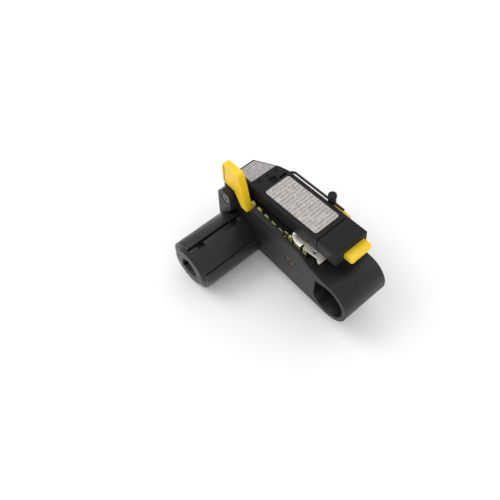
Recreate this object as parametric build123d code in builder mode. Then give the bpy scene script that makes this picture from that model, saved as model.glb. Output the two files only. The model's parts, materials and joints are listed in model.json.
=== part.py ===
"""Rotary coaxial cable stripper with a finger ring.

Frame: the origin is on the cable axis, in the plane of the frame's front face.
+X runs from the cable guide to the finger ring, +Y from the front face to the
back face (the cable guide stands out along -Y), and +Z is up. Millimetres.
The upper arm stands at its propped-open angle, as it does when nothing is held.
"""

from build123d import *
import math
import os

os.makedirs("parts", exist_ok=True)

# ---- driving dimensions -------------------------------------------------

# frame: a bar with a finger ring at one end and a barrel round the cable axis
FRAME_DEPTH = 33.6
FRAME_BOTTOM = -4.7
DECK_Z = 25.7
BAR_LEFT = -15.6
BARREL_R = 16.8
RING_X = 76.3
RING_Z = 10.5
RING_R = 15.2
FINGER_R = 12.3
FINGER_FLAT_X = -10.8
FINGER_CORNER_Z = 9.3
FINGER_CORNER_BLEND_Z = 12.1
FINGER_CORNER_BLEND_X = -2.2
WALL_T = 3.0
WALL_THIN_T = 1.3
WALL_THIN_X = (35.0, 59.0)
WALL_LEDGE_Z = 27.2
WALL_TOP = 32.2
WALL_LEFT = 9.4
WALL_RIGHT = 50.4
WALL_FOOT_X = 66.5
WALL_CURVE_MID = (56.0, 29.2)
EDGE_CHAMFER = 0.8
RUN_CLEAR = 0.06
FREE_CLEAR = 0.3
FRAME_SCREW_X = 44.0
FRAME_SCREW_Z = 14.2
FRAME_SCREW_R = 1.5
FRAME_SCREW_HEAD_R = 3.0
FRAME_SCREW_SINK = 0.3
FRAME_SCREW_HEAD_T = 1.5
FRAME_SCREW_LENGTH = 12.5

# pivot of the upper arm
PIVOT_X = -8.3
PIVOT_Z = 29.0
PIVOT_R = 2.2
BOSS_FRONT = -5.3
BOSS_LEFT = -15.4
BOSS_TOP = 35.2
BOSS_OUTLINE = [
    (BOSS_LEFT, 8.0),
    (BOSS_LEFT, 30.8),
    (-11.6, BOSS_TOP),
    (-6.4, BOSS_TOP),
    (-4.7, 33.8),
    (-3.0, 22.4),
    (-12.6, 9.0),
]
LUG_TOP = 35.6
LUG_RIGHT = -5.6
LUG_BACK = 4.4
EAR_R = 4.5
EAR_Y = 17.4
EAR_T = 3.6
EAR_FOOT_LEFT = -10.5
KNUCKLE_R = 6.2
KNUCKLE_Y = (5.0, 10.4)
PIVOT_HEAD_R = 3.6
PIVOT_HEAD_T = 1.1
PIVOT_HEAD_SINK = 0.3
PIVOT_HEAD_CLEAR = 0.15
HEEL_RELIEF_X = PIVOT_X - 1.2
HEEL_RELIEF_Z = 21.3

# upper arm, in its own axes: u along the arm, w square to it, from the pivot
OPEN_ANGLE = 5.4
ARM_NEAR = 8.4
ARM_FAR = FRAME_DEPTH
ARM_LEFT = -7.2
ARM_END = 80.3
SEAM_U = 65.0
SEAM_GAP = 0.3
ARM_BOTTOM = -1.8
ARM_TOP = 8.2
ARM_WALL = 2.0
ARM_ROOF = 2.2

# cable guide
SLEEVE_R = 16.8
SLEEVE_BORE_R = 14.6
SLEEVE_FRONT = -41.2
SPIGOT_R = 15.5
SPIGOT_LENGTH = 4.0
CORE_R = 14.5
CORE_SHOW_R = 16.1
CORE_FRONT = -43.2
CORE_NOSE_R = 12.9
CORE_BORE_R = 6.5
GAP_START = 24.0
GAP_END = 96.5
GAP_GROOVE = (1.2, 5.6)
KEYWAY = (2.4, 2.0)
POCKET_YS = (-33.0, -6.6)
POCKET_X = (-1.0, 2.8)
POCKET_LENGTH = 4.8
BUSHING_BORE_R = 3.5
BUSHING_FRONT = -38.0
CABLE_BORE_R = 4.2

# blade well, carriage and cable block
WELL_Y = (10.5, 20.7)
WELL_X = (-3.7, 7.3)
BLOCK_WELL_X = (-7.8, 7.8)
BLOCK_WELL_Z = (-11.4, 4.6)
SCREW_BORE_DEPTH = 8.0
SCREW_HEAD_BORE_DEPTH = 3.8
CARRIAGE_TOP = 24.8
CARRIAGE_BOTTOM = 5.0
BLADE_PITCH = 3.3
BLADE_T = 0.4
BLADE_EDGE_Z = 2.5
BLOCK_TOP = -1.4
BLOCK_BOTTOM = -10.9
V_DEPTH = 3.0
SCREW_R = 1.95
SCREW_HEAD_R = 3.4
SCREW_HEAD_FACE = -BARREL_R + 0.4
SCREW_HEAD_T = 2.2
SCREW_SHANK = 8.0
SCREW_TIP_DEPTH = 5.2
HEX_R = 1.5
HEX_DEPTH = 1.4

# thumb lever and rack
LEVER_Y = (-0.8, 4.1)
LEVER_TONGUE_Y = (1.2, 3.8)
TONGUE_POCKET_X = (-1.6, 9.0)
TONGUE_POCKET_DEPTH = 9.5
TONGUE_R = 2.6
TONGUE_X = (1.2, 5.2)
LEVER_FOOT_Z = 26.2
LEVER_PIN_Y = (0.4, 6.5)
LEVER_PIN_X = 3.0
LEVER_PIN_Z = 20.4
LEVER_PIN_R = 1.1
DRIVE_Z = 27.4
DRIVE_R = 0.9
DRIVE_LENGTH = 1.8
RACK_Y = (4.4, 6.0)
RACK_BOTTOM = 23.7
RACK_LEFT = 0.9
RACK_RIGHT = 51.6
RACK_TRAVEL = 2.0
FORK_RIGHT = 6.6
FORK_TOP = 30.0
TOOTH_PITCH = 6.2
TOOTH_FIRST_X = 11.0
TOOTH_TOPS = (29.4, 28.5, 27.8, 27.4)
STEP_PITCH = 6.1
STEP_FIRST_X = 38.0
STEP_TOPS = (30.4, 30.3, 30.5)
STEP_HALF = (1.4, 2.2, 1.4)
RACK_GAPS = [(34.6, 36.6), (39.4, 41.9), (46.3, 48.8)]
RACK_GAP_Z = 24.3
LEVER_SWING_NOTCH_Z = 24.6

# ---- planes and small helpers -------------------------------------------

TILT = math.radians(OPEN_ANGLE)
ARM_U = Vector(math.cos(TILT), 0, math.sin(TILT))
ARM_W = Vector(-math.sin(TILT), 0, math.cos(TILT))
PIVOT = Vector(PIVOT_X, 0, PIVOT_Z)


def front(y):
    """Plane facing -Y at depth y: its x is +X and its y is +Z."""
    return Plane(origin=(0, y, 0), x_dir=(1, 0, 0), z_dir=(0, -1, 0))


def arm_top(w):
    """Plane square to the arm at height w: its x runs along the arm, its y is +Y."""
    return Plane(origin=PIVOT + ARM_W * w, x_dir=ARM_U, z_dir=ARM_W)


def arm_side(y):
    """Plane facing -Y at depth y in the arm's axes: x along the arm, y square to it."""
    return Plane(origin=PIVOT + Vector(0, y, 0), x_dir=ARM_U, z_dir=(0, -1, 0))


def arm_end(u):
    """Plane facing along the arm at u: its x is +Y, its y is square to the arm."""
    return Plane(origin=PIVOT + ARM_U * u, x_dir=(0, 1, 0), z_dir=ARM_U)


def finish_part(piece, name):
    """Label a finished piece and write its own STEP file."""
    piece.part.label = name
    export_step(piece.part, "parts/" + name + ".step")


def rect(x0, y0, x1, y1, mode=Mode.ADD):
    """Rectangle between two corners, in the current sketch."""
    with Locations(((x0 + x1) / 2, (y0 + y1) / 2)):
        Rectangle(abs(x1 - x0), abs(y1 - y0), mode=mode)


def polygon(points, mode=Mode.ADD):
    """Face from a closed outline, in the current sketch."""
    Polygon(*points, align=None, mode=mode)


def disc(x, y, r, mode=Mode.ADD):
    """Circle at a place, in the current sketch."""
    with Locations((x, y)):
        Circle(r, mode=mode)


# ---- frame ----------------------------------------------------------------

with BuildPart() as body_frame:
    with BuildSketch(front(0)):
        Circle(BARREL_R)
        rect(BAR_LEFT, FRAME_BOTTOM, RING_X, DECK_Z)
        disc(RING_X, RING_Z, RING_R)
    extrude(amount=-FRAME_DEPTH)
    # front wall, dropping in one curve to the top of the ring
    with BuildSketch(front(0)):
        with BuildLine():
            Polyline(
                (WALL_FOOT_X, DECK_Z - 1),
                (WALL_LEFT, DECK_Z - 1),
                (WALL_LEFT, WALL_TOP),
                (WALL_RIGHT, WALL_TOP),
            )
            Spline(
                (WALL_RIGHT, WALL_TOP),
                WALL_CURVE_MID,
                (WALL_FOOT_X, DECK_Z),
                tangents=[(1, -0.15), (1, -0.12)],
            )
            Line((WALL_FOOT_X, DECK_Z), (WALL_FOOT_X, DECK_Z - 1))
        make_face()
    extrude(amount=-WALL_T)
    # pivot boss in front, with its lug behind it
    with BuildSketch(front(BOSS_FRONT)):
        polygon(BOSS_OUTLINE)
    extrude(amount=BOSS_FRONT)
    with BuildSketch(front(0)):
        rect(BOSS_LEFT, DECK_Z - 2, LUG_RIGHT, LUG_TOP)
    extrude(amount=-LUG_BACK)
    # inner ear that carries the far end of the pivot
    with BuildSketch(front(EAR_Y)):
        disc(PIVOT_X, PIVOT_Z, EAR_R)
        rect(EAR_FOOT_LEFT, DECK_Z - 1, PIVOT_X + EAR_R, PIVOT_Z)
    extrude(amount=-EAR_T)
    # the sleeve's outside, taken out of the boss
    with BuildSketch(front(BOSS_FRONT - 1)):
        Circle(SLEEVE_R)
    extrude(amount=BOSS_FRONT - 1, mode=Mode.SUBTRACT)
    # seat for the guide, and the cable's way through
    with BuildSketch(front(0)):
        Circle(SPIGOT_R)
    extrude(amount=-SPIGOT_LENGTH, mode=Mode.SUBTRACT)
    with BuildSketch(front(0)):
        Circle(CABLE_BORE_R)
    extrude(amount=-FRAME_DEPTH, mode=Mode.SUBTRACT)
    # finger opening: round, with a flat side and a pointed upper corner
    with BuildSketch(front(0)):
        disc(RING_X, RING_Z, FINGER_R)
        polygon(
            [
                (RING_X + FINGER_FLAT_X, RING_Z - 4.0),
                (RING_X + FINGER_FLAT_X, RING_Z + FINGER_CORNER_Z),
                (RING_X + FINGER_CORNER_BLEND_X, RING_Z + FINGER_CORNER_BLEND_Z),
                (RING_X, RING_Z),
            ]
        )
        rect(RING_X - RING_R, RING_Z - RING_R, RING_X + FINGER_FLAT_X, RING_Z + RING_R, Mode.SUBTRACT)
    extrude(amount=-FRAME_DEPTH, mode=Mode.SUBTRACT)
    # well for the blade carriage above the cable, and for the cable block below it
    with BuildSketch(front(WELL_Y[0])):
        rect(WELL_X[0], BLOCK_WELL_Z[1] - 1, WELL_X[1], DECK_Z + 1)
        rect(BLOCK_WELL_X[0], BLOCK_WELL_Z[0], BLOCK_WELL_X[1], BLOCK_WELL_Z[1])
    extrude(amount=-(WELL_Y[1] - WELL_Y[0]), mode=Mode.SUBTRACT)
    # adjusting screw's hole and counterbore in the barrel's underside
    with BuildSketch(Plane.XY.offset(-BARREL_R - 1)):
        with Locations((0, sum(WELL_Y) / 2)):
            Circle(SCREW_R + RUN_CLEAR)
    extrude(amount=SCREW_BORE_DEPTH, mode=Mode.SUBTRACT)
    with BuildSketch(Plane.XY.offset(-BARREL_R - 1)):
        with Locations((0, sum(WELL_Y) / 2)):
            Circle(SCREW_HEAD_R + RUN_CLEAR)
    extrude(amount=SCREW_HEAD_BORE_DEPTH, mode=Mode.SUBTRACT)
    # pocket for the lever's tongue, and its pin's hole
    with BuildSketch(Plane.XY.offset(DECK_Z)):
        rect(TONGUE_POCKET_X[0], LEVER_TONGUE_Y[0] - 0.2, TONGUE_POCKET_X[1], LEVER_TONGUE_Y[1] + 0.2)
    extrude(amount=-TONGUE_POCKET_DEPTH, mode=Mode.SUBTRACT)
    with BuildSketch(front(LEVER_PIN_Y[0])):
        disc(LEVER_PIN_X, LEVER_PIN_Z, LEVER_PIN_R)
    extrude(amount=-(LEVER_PIN_Y[1] - LEVER_PIN_Y[0]) - 0.1, mode=Mode.SUBTRACT)
    # notch in the deck, where the lever's foot swings down
    with BuildSketch(front(0)):
        rect(TONGUE_POCKET_X[0], LEVER_SWING_NOTCH_Z, WALL_LEFT, DECK_Z + 1)
    extrude(amount=-LEVER_Y[1] - FREE_CLEAR, mode=Mode.SUBTRACT)
    # groove that the rack slides in, between the wall's rib and the deck
    with BuildSketch(front(LEVER_TONGUE_Y[1])):
        rect(TONGUE_POCKET_X[0], RACK_BOTTOM - 0.1, RACK_RIGHT + RACK_TRAVEL + 1.0, DECK_Z + 1)
    extrude(amount=-(RACK_Y[1] + 0.1 - LEVER_TONGUE_Y[1]), mode=Mode.SUBTRACT)
    with BuildSketch(front(WALL_T)):
        rect(WALL_LEFT, RACK_BOTTOM - 0.2, RACK_RIGHT + RACK_TRAVEL + 1.1, DECK_Z)
    extrude(amount=-(RACK_Y[0] - 0.1 - WALL_T))
    # thinner wall beside the rack's steps, with a ledge that hides the rack's base
    with BuildSketch(front(WALL_T - 0.1)):
        rect(WALL_THIN_X[0], DECK_Z - 1, WALL_THIN_X[1], WALL_LEDGE_Z)
    extrude(amount=-(RACK_Y[0] - WALL_T))
    with BuildSketch(front(WALL_THIN_T)):
        rect(WALL_THIN_X[0], WALL_LEDGE_Z, WALL_THIN_X[1], WALL_TOP + 1)
    extrude(amount=-(RACK_Y[0] - WALL_THIN_T), mode=Mode.SUBTRACT)
    # relief behind the hinge, where the arm's heel swings down
    with BuildSketch(front(ARM_NEAR - 0.4)):
        rect(BAR_LEFT - 1, HEEL_RELIEF_Z, HEEL_RELIEF_X, DECK_Z + 1)
    extrude(amount=-FRAME_DEPTH, mode=Mode.SUBTRACT)
    # room for the arm's knuckle
    with BuildSketch(front(KNUCKLE_Y[0] - FREE_CLEAR)):
        disc(PIVOT_X, PIVOT_Z, KNUCKLE_R + FREE_CLEAR)
    extrude(amount=-(KNUCKLE_Y[1] - KNUCKLE_Y[0] + 2 * FREE_CLEAR), mode=Mode.SUBTRACT)
    # pivot hole through boss, lug and ear
    with BuildSketch(front(BOSS_FRONT - 1)):
        disc(PIVOT_X, PIVOT_Z, PIVOT_R)
    extrude(amount=-FRAME_DEPTH, mode=Mode.SUBTRACT)
    with BuildSketch(front(BOSS_FRONT)):
        disc(PIVOT_X, PIVOT_Z, PIVOT_HEAD_R + PIVOT_HEAD_CLEAR)
    extrude(amount=-(PIVOT_HEAD_SINK + PIVOT_HEAD_T), mode=Mode.SUBTRACT)
    # counterbored hole for the frame's screw
    with BuildSketch(front(0)):
        disc(FRAME_SCREW_X, FRAME_SCREW_Z, FRAME_SCREW_HEAD_R + FREE_CLEAR)
    extrude(amount=-FRAME_SCREW_SINK - FRAME_SCREW_HEAD_T, mode=Mode.SUBTRACT)
    with BuildSketch(front(0)):
        disc(FRAME_SCREW_X, FRAME_SCREW_Z, FRAME_SCREW_R)
    extrude(amount=-FRAME_SCREW_SINK - FRAME_SCREW_LENGTH - 0.6, mode=Mode.SUBTRACT)
    # eased top and front edges of the wall
    wall_edges = body_frame.edges().filter_by(Axis.X)
    wall_edges = wall_edges.filter_by_position(Axis.Z, WALL_TOP - 0.1, WALL_TOP + 0.1)
    chamfer(wall_edges.sort_by(Axis.Y)[0], EDGE_CHAMFER)
finish_part(body_frame, "body_frame")

# ---- cable guide -----------------------------------------------------------


def sector(start, end, radius, mode):
    """Wedge from the sketch's centre between two angles, wider than the radius."""
    reach = radius * 2
    angles = [math.radians(a) for a in (start, (start + end) / 2, end)]
    polygon([(0, 0)] + [(reach * math.cos(a), reach * math.sin(a)) for a in angles], mode)


with BuildPart() as guide_sleeve:
    with BuildSketch(front(SLEEVE_FRONT)):
        Circle(SLEEVE_R)
        Circle(SLEEVE_BORE_R, mode=Mode.SUBTRACT)
        sector(GAP_START, GAP_END, SLEEVE_R, Mode.SUBTRACT)
    extrude(amount=SLEEVE_FRONT)
    with BuildSketch(front(0)):
        Circle(SPIGOT_R)
        Circle(SLEEVE_BORE_R, mode=Mode.SUBTRACT)
    extrude(amount=-SPIGOT_LENGTH)
finish_part(guide_sleeve, "guide_sleeve")

with BuildPart() as guide_core:
    with BuildSketch(front(SLEEVE_FRONT)):
        Circle(CORE_R)
    extrude(amount=SLEEVE_FRONT - SPIGOT_LENGTH + 0.2)
    # raised rib that fills the sleeve's gap
    with BuildSketch(front(SLEEVE_FRONT)):
        Circle(CORE_SHOW_R)
        sector(GAP_START + GAP_GROOVE[0], GAP_END - GAP_GROOVE[1], CORE_SHOW_R, Mode.INTERSECT)
    extrude(amount=SLEEVE_FRONT + 0.1)
    # nose cone in front of the sleeve
    with BuildSketch(front(SLEEVE_FRONT)):
        Circle(CORE_R)
    with BuildSketch(front(CORE_FRONT)):
        Circle(CORE_NOSE_R)
    loft()
    # stepped bore, with three keyways at the mouth
    with BuildSketch(front(CORE_FRONT - 1)):
        Circle(CORE_BORE_R)
    extrude(amount=CORE_FRONT - 1 - SPIGOT_LENGTH, mode=Mode.SUBTRACT)
    with BuildSketch(front(CORE_FRONT - 1)):
        with PolarLocations(CORE_BORE_R, 3, start_angle=90):
            Rectangle(*KEYWAY)
    extrude(amount=-(BUSHING_FRONT - CORE_FRONT) - 1, mode=Mode.SUBTRACT)
    # two pockets beside the sleeve's upper edge
    for pocket_y in POCKET_YS:
        with BuildSketch(Plane.XY.offset(CORE_SHOW_R - 3)):
            rect(POCKET_X[0], pocket_y - POCKET_LENGTH / 2, POCKET_X[1], pocket_y + POCKET_LENGTH / 2)
        extrude(amount=4, mode=Mode.SUBTRACT)
finish_part(guide_core, "guide_core")

with BuildPart() as cable_bushing:
    with BuildSketch(front(BUSHING_FRONT)):
        Circle(CORE_BORE_R)
        Circle(BUSHING_BORE_R, mode=Mode.SUBTRACT)
    extrude(amount=BUSHING_FRONT - SPIGOT_LENGTH + 0.2)
finish_part(cable_bushing, "cable_bushing")

# ---- pivot ------------------------------------------------------------------

PIVOT_HEAD_FACE = BOSS_FRONT + PIVOT_HEAD_SINK
PIVOT_TAIL = 1.6
CROSS_RECESS = (3.4, 0.8)
CROSS_DEPTH = 0.8
with BuildPart() as pivot_screw:
    with BuildSketch(front(PIVOT_HEAD_FACE)):
        disc(PIVOT_X, PIVOT_Z, PIVOT_HEAD_R)
    extrude(amount=-PIVOT_HEAD_T)
    chamfer(pivot_screw.faces().sort_by(Axis.Y)[0].edges(), 0.4)
    with BuildSketch(front(PIVOT_HEAD_FACE)):
        disc(PIVOT_X, PIVOT_Z, PIVOT_R)
    extrude(amount=PIVOT_HEAD_FACE - EAR_Y - EAR_T - PIVOT_TAIL)
    # cross recess
    with BuildSketch(front(PIVOT_HEAD_FACE)):
        with Locations((PIVOT_X, PIVOT_Z)):
            Rectangle(CROSS_RECESS[0], CROSS_RECESS[1])
            Rectangle(CROSS_RECESS[1], CROSS_RECESS[0])
    extrude(amount=-CROSS_DEPTH, mode=Mode.SUBTRACT)
finish_part(pivot_screw, "pivot_screw")

CLIP_T = 0.8
CLIP_BAND = 0.8
CLIP_GAP = 2.0
with BuildPart() as pivot_clip:
    with BuildSketch(front(EAR_Y + EAR_T + 0.2)):
        disc(PIVOT_X, PIVOT_Z, PIVOT_R + CLIP_BAND)
        disc(PIVOT_X, PIVOT_Z, PIVOT_R, Mode.SUBTRACT)
        rect(PIVOT_X - CLIP_GAP / 2, PIVOT_Z + 1, PIVOT_X + CLIP_GAP / 2, PIVOT_Z + EAR_R, Mode.SUBTRACT)
    extrude(amount=-CLIP_T)
finish_part(pivot_clip, "pivot_clip")

COIL_PITCH = 1.1
COIL_LENGTH = 4.4
COIL_R = 2.95
COIL_START = (PIVOT_X, 11.7, PIVOT_Z)
COIL_WIRE_R = 0.28
with BuildPart() as hinge_spring:
    with BuildLine() as coil:
        Helix(COIL_PITCH, COIL_LENGTH, COIL_R, center=COIL_START, direction=(0, 1, 0))
    with BuildSketch(Plane(origin=coil.line @ 0, z_dir=coil.line % 0)):
        Circle(COIL_WIRE_R)
    sweep(path=coil.line, is_frenet=True)
finish_part(hinge_spring, "hinge_spring")

# ---- upper arm ---------------------------------------------------------------

ARM_OUTLINE = [
    (ARM_LEFT + 3.0, ARM_NEAR),
    (SEAM_U, ARM_NEAR),
    (SEAM_U, ARM_FAR),
    (14.7, ARM_FAR),
    (8.5, ARM_FAR - 1.5),
    (ARM_LEFT, 24.0),
    (ARM_LEFT, ARM_NEAR + 3.2),
]
HOLE_U = 9.7
HOLE_YS = (14.6, 21.1, 27.8)
HOLE_R = 0.7
SLOT_U = (15.0, 16.6)
SLOT_Y = (25.2, 31.0)
TOP_EDGE_CHAMFER = 0.6
ROOF_HOLE_DEPTH = 4.0
BUTTON_U = 14.2
BUTTON_Y = 21.6
BUTTON_R = 2.6
BUTTON_SINK = 0.9
BUTTON_FOOT = 2.5
ROD_U = 14.8
ROD_W = 7.3
ROD_R = 0.8
ROD_Y = 35.4
ROD_TIP_U = 60.0
ROD_LEG_W = 4.7
ROD_RISE_U = 4.0
ROD_BEND_R = 1.2
TONGUE_W = (0.2, 5.6)

with BuildPart() as arm_housing:
    with BuildSketch(arm_top(ARM_BOTTOM)):
        polygon(ARM_OUTLINE)
    extrude(amount=ARM_TOP - ARM_BOTTOM)
    chamfer(arm_housing.faces().sort_by(Axis.Z)[-1].edges(), TOP_EDGE_CHAMFER)
    with BuildSketch(arm_top(ARM_BOTTOM)):
        polygon(ARM_OUTLINE)
        offset(amount=-ARM_WALL, mode=Mode.REPLACE)
    extrude(amount=ARM_TOP - ARM_BOTTOM - ARM_ROOF, mode=Mode.SUBTRACT)
    # knuckle on the pivot
    with BuildSketch(arm_side(KNUCKLE_Y[0])):
        Circle(KNUCKLE_R)
    extrude(amount=-(KNUCKLE_Y[1] - KNUCKLE_Y[0]))
    with BuildSketch(arm_side(KNUCKLE_Y[0])):
        Circle(PIVOT_R + RUN_CLEAR)
    extrude(amount=-(KNUCKLE_Y[1] - KNUCKLE_Y[0]) - 1, mode=Mode.SUBTRACT)
    # three small holes, the button's hole and the slot beside it
    with BuildSketch(arm_top(ARM_TOP)):
        for hole_y in HOLE_YS:
            disc(HOLE_U, hole_y, HOLE_R)
        disc(BUTTON_U, BUTTON_Y, BUTTON_R + RUN_CLEAR)
        rect(SLOT_U[0], SLOT_Y[0], SLOT_U[1], SLOT_Y[1])
    extrude(amount=-ROOF_HOLE_DEPTH, mode=Mode.SUBTRACT)
    # way through the end wall for the end block's tongue
    with BuildSketch(arm_end(SEAM_U - ARM_WALL - 0.2)):
        rect(ARM_NEAR + ARM_WALL, TONGUE_W[0], ARM_FAR - ARM_WALL, TONGUE_W[1])
    extrude(amount=ARM_WALL + 1, mode=Mode.SUBTRACT)
    # hole for the stop rod's leg
    with BuildSketch(arm_side(ARM_FAR - ARM_WALL - 1)):
        disc(ROD_U, ROD_LEG_W, ROD_R + RUN_CLEAR)
    extrude(amount=-ARM_WALL - 2, mode=Mode.SUBTRACT)
finish_part(arm_housing, "arm_housing")

BASE_LEFT = 20.0
BASE_T = 1.5
BASE_SCREW_Y = 21.0
BASE_SCREW_R = 1.5
BASE_SCREW_US = (25.0, 58.0)
BASE_SCREW_LENGTH = 6.0
RIVET_US = (52.0, 60.6)
RIVET_Y = 12.8
RIVET_R = 1.2
with BuildPart() as arm_base:
    with BuildSketch(arm_top(ARM_BOTTOM)):
        rect(BASE_LEFT, ARM_NEAR + ARM_WALL, SEAM_U - ARM_WALL, ARM_FAR - ARM_WALL)
    extrude(amount=BASE_T)
    with BuildSketch(arm_top(ARM_BOTTOM)):
        for base_u in BASE_SCREW_US:
            disc(base_u, BASE_SCREW_Y, BASE_SCREW_R)
        for rivet_u in RIVET_US:
            disc(rivet_u, RIVET_Y, RIVET_R)
    extrude(amount=BASE_T, mode=Mode.SUBTRACT)
finish_part(arm_base, "arm_base")

with BuildPart() as arm_base_screws:
    with BuildSketch(arm_top(ARM_BOTTOM)):
        for base_u in BASE_SCREW_US:
            disc(base_u, BASE_SCREW_Y, BASE_SCREW_R)
    extrude(amount=BASE_SCREW_LENGTH)
finish_part(arm_base_screws, "arm_base_screws")

PUSHER_W = (-4.6, 6.0)
PUSHER_U = 8.3
PUSHER_SIZE = (4.4, 7.0)
with BuildPart() as pusher:
    with BuildSketch(arm_top(PUSHER_W[0])):
        with Locations((PUSHER_U, sum(WELL_Y) / 2)):
            RectangleRounded(PUSHER_SIZE[0], PUSHER_SIZE[1], 1.0)
    extrude(amount=PUSHER_W[1] - PUSHER_W[0])
finish_part(pusher, "pusher")

LABEL_T = 0.2
LABEL_MIDDLE = (40.0, 20.7)
LABEL_SIZE = (43.4, 19.1)
LABEL_CORNER_R = 1.8
with BuildPart() as main_label:
    with BuildSketch(arm_top(ARM_TOP)):
        with Locations(LABEL_MIDDLE):
            RectangleRounded(LABEL_SIZE[0], LABEL_SIZE[1], LABEL_CORNER_R)
    extrude(amount=LABEL_T)
finish_part(main_label, "main_label")

END_LABEL_OUTLINE = [(-5.6, 12.4), (-3.6, 10.6), (6.6, 10.6), (6.9, 30.0), (-5.6, 23.4)]
with BuildPart() as end_label:
    with BuildSketch(arm_top(ARM_TOP)):
        polygon(END_LABEL_OUTLINE)
    extrude(amount=LABEL_T)
finish_part(end_label, "end_label")

TAB_W = (-0.2, 3.5)
TAB_Y = (15.2, 31.2)
TAB_END = 86.4
TAB_ROOT = SEAM_U + 5.0
TAB_CLEAR = 0.1
TAB_CORNER_R = 1.2
BLOCK_WALL = 1.5
TONGUE_REACH = 3.5
with BuildPart() as end_block:
    with BuildSketch(arm_top(ARM_BOTTOM)):
        rect(SEAM_U + SEAM_GAP, ARM_NEAR, ARM_END, ARM_FAR)
    extrude(amount=ARM_TOP - ARM_BOTTOM)
    chamfer(end_block.faces().sort_by(Axis.Z)[-1].edges(), TOP_EDGE_CHAMFER)
    with BuildSketch(arm_end(SEAM_U + SEAM_GAP + BLOCK_WALL)):
        rect(TAB_Y[0] - TAB_CLEAR, TAB_W[0] - TAB_CLEAR, TAB_Y[1] + TAB_CLEAR, TAB_W[1] + TAB_CLEAR)
    extrude(amount=ARM_END - SEAM_U, mode=Mode.SUBTRACT)
    # tongue into the arm's hollow
    with BuildSketch(arm_end(SEAM_U - TONGUE_REACH)):
        rect(ARM_NEAR + ARM_WALL, TONGUE_W[0], ARM_FAR - ARM_WALL, TONGUE_W[1])
    extrude(amount=TONGUE_REACH + SEAM_GAP + 0.1)
finish_part(end_block, "end_block")

with BuildPart() as pull_tab:
    with BuildSketch(arm_top(TAB_W[0])):
        rect(TAB_ROOT, TAB_Y[0], ARM_END, TAB_Y[1])
        with Locations(((ARM_END + TAB_END) / 2 - 1.0, (TAB_Y[0] + TAB_Y[1]) / 2)):
            RectangleRounded(TAB_END - ARM_END + 2.0, TAB_Y[1] - TAB_Y[0], TAB_CORNER_R)
    extrude(amount=TAB_W[1] - TAB_W[0])
finish_part(pull_tab, "pull_tab")

TAB_SPRING_U = (66.9, 68.2)
TAB_SPRING_W = (1.5, 2.35, 3.2)
TAB_SPRING_Y = (19.2, 27.2)
with BuildPart() as tab_spring:
    with BuildSketch(arm_side(TAB_SPRING_Y[0])):
        with BuildLine():
            ThreePointArc(
                (TAB_SPRING_U[0], TAB_SPRING_W[0]),
                (TAB_SPRING_U[1], TAB_SPRING_W[1]),
                (TAB_SPRING_U[0], TAB_SPRING_W[2]),
            )
            Line((TAB_SPRING_U[0], TAB_SPRING_W[2]), (TAB_SPRING_U[0], TAB_SPRING_W[0]))
        make_face()
    extrude(amount=-(TAB_SPRING_Y[1] - TAB_SPRING_Y[0]))
finish_part(tab_spring, "tab_spring")

with BuildPart() as lock_button:
    with BuildSketch(arm_top(BUTTON_FOOT)):
        disc(BUTTON_U, BUTTON_Y, BUTTON_R)
    extrude(amount=ARM_TOP - BUTTON_SINK - BUTTON_FOOT)
    fillet(lock_button.faces().sort_by(Axis.Z)[-1].edges(), 0.4)
finish_part(lock_button, "lock_button")

# ---- steel plates under the arm's near edge, with the yellow retainer --------

PLATE_T = 0.9
LEAF_T = 0.6
PLATE_BACK_Y = 16.0
CATCH_HOLE = (65.4, 6.8)
CATCH_HOLE_R = 0.9
LEAF_POINT = (45.6, 8.6)
LEAF_TIP = (49.4, 4.9)
LEAF_NEAR = (52.6, 3.6)
LEAF_REST = [LEAF_NEAR, (56.2, 3.9), (56.8, 6.4), (56.8, PLATE_BACK_Y), (47.2, PLATE_BACK_Y), LEAF_POINT]
CATCH_OUTLINE = [
    (57.6, 6.4),
    (58.2, 4.0),
    (69.0, 4.8),
    (71.2, 3.2),
    (72.8, 3.2),
    (72.8, PLATE_BACK_Y),
    (57.6, PLATE_BACK_Y),
]
with BuildPart() as catch_plate:
    with BuildSketch(arm_top(ARM_BOTTOM - PLATE_T)):
        polygon(CATCH_OUTLINE)
        disc(CATCH_HOLE[0], CATCH_HOLE[1], CATCH_HOLE_R, Mode.SUBTRACT)
        disc(RIVET_US[1], RIVET_Y, RIVET_R, Mode.SUBTRACT)
    extrude(amount=PLATE_T)
finish_part(catch_plate, "catch_plate")

with BuildPart() as leaf_plate:
    with BuildSketch(arm_top(ARM_BOTTOM - LEAF_T)):
        with BuildLine():
            Spline(LEAF_POINT, LEAF_TIP, LEAF_NEAR, tangents=[(0.6, -1), (1, -0.1)])
            Polyline(*LEAF_REST)
        make_face()
        disc(RIVET_US[0], RIVET_Y, RIVET_R, Mode.SUBTRACT)
    extrude(amount=LEAF_T)
finish_part(leaf_plate, "leaf_plate")

with BuildPart() as plate_rivets:
    with BuildSketch(arm_top(ARM_BOTTOM - PLATE_T)):
        for rivet_u in RIVET_US:
            disc(rivet_u, RIVET_Y, RIVET_R)
    extrude(amount=PLATE_T + BASE_T)
finish_part(plate_rivets, "plate_rivets")

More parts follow.
